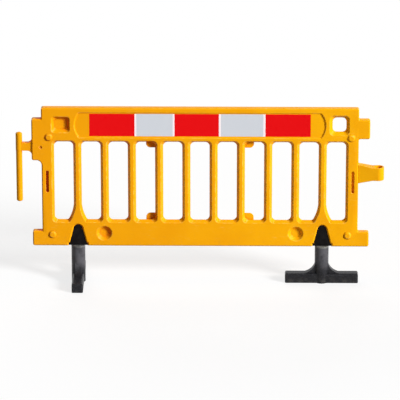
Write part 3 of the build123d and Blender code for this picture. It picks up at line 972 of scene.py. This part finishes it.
yellow_plastic, tree, shader, place = new_material("yellow_plastic_satin")
along = axis_of(tree, place, "x")
colour = blend_colours(tree, spread(tree, along, PIN_END, EYE_END), PIN_END_YELLOW, EYE_END_YELLOW)
flow = patches(tree, place, scale=5.0, detail=4.0, start=0.35, full=0.70)
colour = blend_colours(tree, flow, colour, DEEP_YELLOW, amount=0.6)
print("colour nodes:", len(tree.nodes))

# %% [markdown]
# Handling leaves its marks. The marks that the rounded edges carry say where: the outer rounds are rubbed
# pale in patches, because wear is never even. The inner ones are darkened red-brown in patches: partly grime,
# partly painted shade in the creases.

# %% Yellow plastic: rubbed edges, grime and painted shade
RUBBED_YELLOW = (0.96, 0.58, 0.13, 1)
GRIME_AND_PAINTED_SHADE = (0.34, 0.06, 0.001, 1)

edge_mark = add_node(tree, "ShaderNodeAttribute", {}, attribute_name="wear_and_shade").outputs["Fac"]
on_crest = spread(tree, edge_mark, start=0.0, full=1.0)
in_corner = spread(tree, edge_mark, start=0.0, full=-1.0)
rubs = patches(tree, place, scale=38.0, detail=5.0, start=0.42, full=0.66)
colour = blend_colours(tree, times(tree, on_crest, rubs), colour, RUBBED_YELLOW, amount=0.55)
grime_and_shade_clumps = patches(tree, place, scale=24.0, detail=5.0, start=0.35, full=0.65, least=0.15, most=0.5)
# inner rounds darkened red-brown in patches: grime and painted shade in the creases
colour = blend_colours(tree, times(tree, in_corner, grime_and_shade_clumps), colour, GRIME_AND_PAINTED_SHADE)
print("nodes with wear:", len(tree.nodes))

# %% [markdown]
# In the photograph the slits, dishes and pockets are not a darker yellow but a deep red-brown. The light
# that comes out of them has met yellow plastic several times, and each time it lost more of its green than
# of its red. A render follows only a few such bounces, so the material paints that shade into the colour as
# a red-brown painted shade. The Ambient Occlusion node tells how far a place is shut in by its own piece. The
# painted shade goes to what is shut in and also faces away from the side where the key lamp stands, or has a
# wall between it and that side. It is strong at the end with the pin and weak at the other.

# %% Yellow plastic: painted shade in the deep hollows
PAINTED_SHADE_BROWN = (0.58, 0.02, 0.001, 1)
PAINTED_SHADE_AT_PIN_END = 0.72
PAINTED_SHADE_AT_EYE_END = 0.10
KEY_LAMP_SIDE = tuple(KEY_FROM)
OCCLUSION_REACH = 0.05


def openness(tree, towards=None):
    """1 in the open, less where the piece's own walls stand in the way, all round or in one direction."""
    inputs = {"Distance": OCCLUSION_REACH}
    if towards is not None:
        inputs["Normal"] = towards
    return add_node(tree, "ShaderNodeAmbientOcclusion", inputs, only_local=True).outputs["AO"]


facing = tree.nodes.new("ShaderNodeNewGeometry").outputs["Normal"]
turned_away = spread(tree, on_vectors(tree, "DOT_PRODUCT", facing, KEY_LAMP_SIDE), start=0.45, full=-0.20)
leaning = on_vectors(tree, "NORMALIZE", on_vectors(tree, "ADD", facing, KEY_LAMP_SIDE))
walled_off = spread(tree, openness(tree, leaning), start=0.80, full=0.68)
dark_side = calculate(tree, "MAXIMUM", turned_away, walled_off)
shut_in = spread(tree, openness(tree), start=1.0, full=0.90)
strength = spread(tree, along, PIN_END, EYE_END, PAINTED_SHADE_AT_PIN_END, PAINTED_SHADE_AT_EYE_END)
# painted shade: red-brown mixed into the colour where hollows face away from the key lamp
painted_shade = times(tree, times(tree, shut_in, dark_side), strength)
colour = blend_colours(tree, painted_shade, colour, PAINTED_SHADE_BROWN)
print("nodes with hollows:", len(tree.nodes))

# %% [markdown]
# Road dirt splashes up on to the bottom rail, scratches run along the panel where barriers are dragged past
# each other, and fine specks are in the plastic itself. Stretched noise makes the scratches: squeezed in
# height, its clouds become level lines.

# %% Yellow plastic: dirt, scratches and specks
ROAD_DIRT = (0.36, 0.19, 0.05, 1)
SPLASH_TOP = 0.34
SPLASH_FULL = 0.20
SCUFF_STRETCH = (1.0, 1.0, 6.0)
SCRATCH_STRETCH = (1.0, 1.0, 14.0)

low_down = spread(tree, axis_of(tree, place, "z"), SPLASH_TOP, SPLASH_FULL)
splashes = patches(tree, place, scale=60.0, detail=6.0, start=0.56, full=0.74)
colour = blend_colours(tree, times(tree, low_down, splashes), colour, ROAD_DIRT, amount=0.16)
scuffs = patches(tree, place, scale=16.0, detail=6.0, start=0.50, full=0.72, stretch=SCUFF_STRETCH)
scratches = patches(tree, place, scale=30.0, detail=8.0, start=0.58, full=0.72, stretch=SCRATCH_STRETCH)
dragged = patches(tree, place, scale=7.0, detail=3.0, start=0.45, full=0.62)
colour = blend_colours(tree, times(tree, scratches, dragged), colour, RUBBED_YELLOW, amount=0.3)
specks = patches(tree, place, scale=420.0, detail=2.0, start=0.56, full=0.74)
colour = blend_colours(tree, specks, colour, DEEP_YELLOW, amount=0.16)
print("nodes with dirt:", len(tree.nodes))

# %% [markdown]
# The skin is satin, with the fine orange peel of a sand-blasted mould, a slow waviness where the thin wall
# shrank, and a hairline seam where the two halves of the mould met. These are too shallow for geometry, so
# they are bumps, one on top of the other. Scuffs change only how rough the skin is.

# %% Yellow plastic: skin
SEAM_HALF = 0.0004
SEAM_EDGE = 0.0011


def bumps(tree, height, depth, under=None):
    """A bumpy normal, depth in metres, on top of another one where given."""
    inputs = {"Height": height, "Strength": 1.0, "Distance": depth}
    if under is not None:
        inputs["Normal"] = under
    return add_node(tree, "ShaderNodeBump", inputs).outputs["Normal"]


def set_shader(tree, shader, colour, roughness, normal, specular):
    """Connect a finished colour, roughness and normal to the shader, and set how much it mirrors."""
    tree.links.new(colour, shader.inputs["Base Color"])
    tree.links.new(roughness, shader.inputs["Roughness"])
    tree.links.new(normal, shader.inputs["Normal"])
    shader.inputs["Specular IOR Level"].default_value = specular


from_seam = calculate(tree, "ABSOLUTE", axis_of(tree, place, "y"))
seam = spread(tree, from_seam, SEAM_HALF, SEAM_EDGE)
skin = bumps(tree, noise(tree, place, scale=700.0, detail=2.0), depth=0.00006)
skin = bumps(tree, noise(tree, place, scale=26.0, detail=2.0), depth=0.0005, under=skin)
skin = bumps(tree, seam, depth=0.0004, under=skin)
satin = spread(tree, scuffs, start=0.0, full=1.0, least=0.38, most=0.52)
set_shader(tree, shader, colour, satin, skin, specular=0.07)
print("yellow plastic nodes:", len(tree.nodes))

# %% [markdown]
# The sheeting is reflective film: thousands of tiny prisms under a clear top layer, sealed in a grid of fine
# diamonds. A brick pattern turned by 45 degrees draws the grid. The white film has a pale border at both
# ends, where it was cut a little shorter than the gap between the red ones.

# %% Reflective sheeting
RED = (0.76, 0.002, 0.004, 1)
RED_SEAL = (0.86, 0.02, 0.02, 1)
SILVER = (0.58, 0.61, 0.66, 1)
SILVER_SEAL = (0.78, 0.80, 0.82, 1)
BORDER = (0.95, 0.84, 0.86, 1)
BORDER_START = 0.05
BORDER_FULL = 0.04
CELL = 0.006
SEAL_SHARE = 1 / 14
SEAL_SOFTNESS = 0.4
INTO_FILM_PLANE = (radians(-90), 0, radians(45))


def diamonds(tree, place):
    """1 on the fine lines of a diamond grid that lies in the upright plane of the film, 0 between them."""
    turn = add_node(tree, "ShaderNodeMapping", {"Vector": place, "Rotation": INTO_FILM_PLANE})
    inputs = {"Vector": turn.outputs["Vector"], "Scale": 1.0, "Brick Width": CELL, "Row Height": CELL}
    inputs |= {"Mortar Size": CELL * SEAL_SHARE, "Mortar Smooth": SEAL_SOFTNESS}
    return add_node(tree, "ShaderNodeTexBrick", inputs, offset=0.0).outputs["Fac"]


def film(name, body, seal, has_border):
    """A glossy reflective film with a sealed diamond grid, and a pale border at both ends if it has one."""
    material, tree, shader, place = new_material(name)
    grid = diamonds(tree, place)
    colour = blend_colours(tree, grid, body, seal, amount=0.6)
    if has_border:
        share = axis_of(tree, tree.nodes.new("ShaderNodeTexCoord").outputs["Generated"], "x")
        for start, full in ((BORDER_START, BORDER_FULL), (1 - BORDER_START, 1 - BORDER_FULL)):
            colour = blend_colours(tree, spread(tree, share, start, full), colour, BORDER)
    gloss = patches(tree, place, scale=9.0, detail=4.0, start=0.30, full=0.75, least=0.24, most=0.40)
    ripple = bumps(tree, noise(tree, place, scale=30.0, detail=2.0), depth=0.0003)
    relief = bumps(tree, grid, depth=0.00005, under=ripple)
    set_shader(tree, shader, colour, gloss, relief, specular=0.05)
    print(name, "nodes:", len(tree.nodes))
    return material


red_sheeting = film("red_reflective_film", RED, RED_SEAL, has_border=False)
white_sheeting = film("white_reflective_film", SILVER, SILVER_SEAL, has_border=True)
print("film cell in millimetres:", round(MM * CELL, 1))

# %% [markdown]
# The sockets are matt black plastic with a light texture from the mould. It is nearly even, so one noise
# serves twice: where it is greyer it is also rougher.

# %% Black plastic
SOCKET_BLACK = (0.004, 0.003, 0.003, 1)
SOCKET_GREY = (0.008, 0.007, 0.007, 1)

black_plastic, tree, shader, place = new_material("black_plastic_matt")
chalky = patches(tree, place, scale=45.0, detail=5.0, start=0.40, full=0.70)
colour = blend_colours(tree, chalky, SOCKET_BLACK, SOCKET_GREY)
matt = spread(tree, chalky, start=0.0, full=1.0, least=0.45, most=0.62)
texture = bumps(tree, noise(tree, place, scale=900.0, detail=2.0), depth=0.0001)
set_shader(tree, shader, colour, matt, texture, specular=0.07)
print("black plastic nodes:", len(tree.nodes))

# %% [markdown]
# The feet are cast from crumbs of old tyres, so their grey is speckled, the surface is granular and dust
# stays on it close to the ground. Higher up the stem is painted a lighter grey: a grey bloom where it is
# handled, and painted sheen where the round stem catches the light. Where it turns under its socket a pale
# ring is painted, partly rubbed off and partly a painted highlight on the stem's top edge. A Voronoi texture
# gives the crumbs, and the height above the ground says where the rest goes.

# %% Recycled rubber
RUBBER = (0.009, 0.009, 0.0105, 1)
CRUMB = (0.024, 0.024, 0.029, 1)
CRUMB_SCALE = 330.0
DUST = (0.085, 0.08, 0.07, 1)
DUST_TOP = 0.05
BLOOM_AND_SHEEN_GREY = (0.085, 0.083, 0.092, 1)
BLOOM_AND_SHEEN_START = 0.06
BLOOM_AND_SHEEN_FULL = 0.13
RUB_RING_AND_HIGHLIGHT = (0.19, 0.19, 0.17, 1)
RING_START = 0.199
RING_FULL = 0.207

black_rubber, tree, shader, place = new_material("recycled_rubber")
crumbs = add_node(tree, "ShaderNodeTexVoronoi", {"Vector": place, "Scale": CRUMB_SCALE})
crumb_tone = axis_of(tree, crumbs.outputs["Color"], "x")
colour = blend_colours(tree, spread(tree, crumb_tone, start=0.55, full=0.95), RUBBER, CRUMB)
height = axis_of(tree, place, "z")
dusty = patches(tree, place, scale=34.0, detail=6.0, start=0.42, full=0.68)
dusty = times(tree, spread(tree, height, DUST_TOP, 0.0), dusty)
colour = blend_colours(tree, dusty, colour, DUST, amount=0.45)
bloom_and_sheen_patches = patches(tree, place, scale=22.0, detail=4.0, start=0.30, full=0.62, least=0.35)
bloom_and_sheen = times(tree, spread(tree, height, BLOOM_AND_SHEEN_START, BLOOM_AND_SHEEN_FULL), bloom_and_sheen_patches)
# lighter grey higher up the stem: grey bloom and painted sheen
colour = blend_colours(tree, bloom_and_sheen, colour, BLOOM_AND_SHEEN_GREY)
# pale ring under the socket: a rubbed ring and a painted highlight
ring = times(tree, spread(tree, height, RING_START, RING_FULL), bloom_and_sheen_patches)
colour = blend_colours(tree, ring, colour, RUB_RING_AND_HIGHLIGHT, amount=0.8)
worn_smooth = spread(tree, crumb_tone, start=0.0, full=1.0, least=0.30, most=0.44)
grains = bumps(tree, crumbs.outputs["Distance"], depth=0.0002)
dents = bumps(tree, noise(tree, place, scale=60.0, detail=3.0), depth=0.0006, under=grains)
set_shader(tree, shader, colour, worn_smooth, dents, specular=0.18)
print("rubber crumbs about", round(MM / CRUMB_SCALE, 1), "mm")

# %% [markdown]
# The bolts, washers, sleeves and nuts are zinc-plated steel: bright, with a faint blue and straw tint and
# fine cloudy spangle. Three noises of different size give the tint, the gloss and the grain.

# %% Zinc-plated steel
ZINC = (0.58, 0.59, 0.61, 1)
STRAW = (0.56, 0.53, 0.44, 1)

steel, tree, shader, place = new_material("zinc_plated_steel")
tint = patches(tree, place, scale=120.0, detail=4.0, start=0.40, full=0.70)
colour = blend_colours(tree, tint, ZINC, STRAW)
spangle = patches(tree, place, scale=400.0, detail=3.0, start=0.30, full=0.70, least=0.26, most=0.46)
grain = bumps(tree, noise(tree, place, scale=1500.0, detail=2.0), depth=0.00004)
set_shader(tree, shader, colour, spangle, grain, specular=0.5)
shader.inputs["Metallic"].default_value = 1.0
print("steel nodes:", len(tree.nodes))

# %% [markdown]
# Each piece stands for a CAD piece, and the record says which material slot that one has. So the materials
# are handed out by slot instead of piece by piece, and none can be forgotten.

# %% Hand out the materials
finishes = {
    "yellow_plastic": yellow_plastic,
    "red_sheeting": red_sheeting,
    "white_sheeting": white_sheeting,
    "black_plastic": black_plastic,
    "black_rubber": black_rubber,
    "steel": steel,
}
for node, piece in pieces.items():
    piece.data.materials.append(finishes[slot_of[node]])
print("painted:", len(pieces), "of", len(nodes))

# %% [markdown]
# The new pieces must not be larger than the CAD model they stand for. Rounding only takes away, so the two
# boxes should agree.

import json
